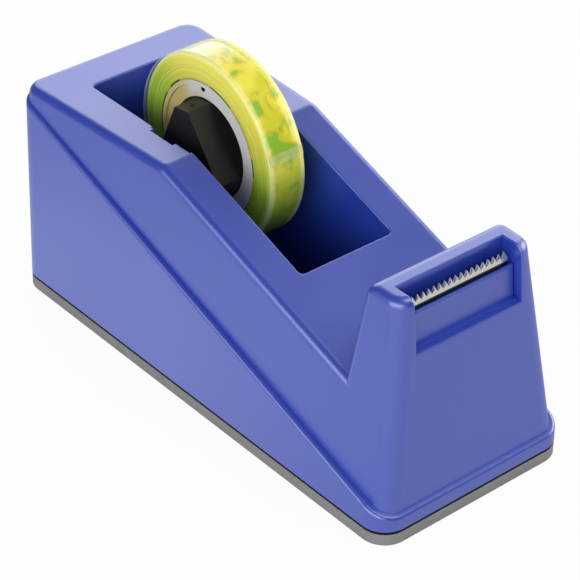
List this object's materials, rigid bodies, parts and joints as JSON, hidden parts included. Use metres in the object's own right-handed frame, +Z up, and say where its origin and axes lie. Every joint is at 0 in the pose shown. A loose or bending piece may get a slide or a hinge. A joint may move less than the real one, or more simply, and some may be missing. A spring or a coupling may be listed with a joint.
{
  "type": "tape dispenser",
  "caption": "Weighted desk tape dispenser: wedge-shaped moulded shell on foam, lift-out spinning tape roll in a well, and a front tower with a serrated cutter blade.",
  "frame": {"origin": "middle of the underside of the foam pad", "axes": "+X from the roll towards the cutter tower, +Y across to the dispenser's left as seen by someone behind the roll, +Z up"},
  "size_m": [0.14, 0.0582, 0.0748],
  "materials": {
    "shell_plastic": "satin moulded",
    "plate_plastic": "moulded",
    "foam": "closed-cell foam",
    "screw_steel": "zinc plated",
    "ballast_iron": "black lacquer",
    "blade_steel": "blued, teeth ground bright",
    "hub_plastic": "moulded",
    "core_plastic": "moulded",
    "tape_film": "wound film"
  },
  "bodies": {
    "housing": {"shell": "shell_plastic", "base_plate": "plate_plastic", "foam_pad": "foam", "base_screws": "screw_steel", "ballast_front": "ballast_iron", "ballast_rear": "ballast_iron", "blade_holder": "shell_plastic", "cutter_blade": "blade_steel"},
    "axle": {"axle": "hub_plastic"},
    "spool": {"hub": "hub_plastic", "tape_core": "core_plastic", "tape_winding": "tape_film"}
  },
  "joints": [
    {"name": "spool_lift", "type": "slide", "parent": "housing", "child": "axle", "axis": [0, 0, 1], "range_m": [0, 0.045]},
    {"name": "roll_spin", "type": "hinge", "parent": "axle", "child": "spool", "pos_m": [-0.0265, 0, 0.05], "axis": [0, 1, 0], "continuous": true}
  ]
}
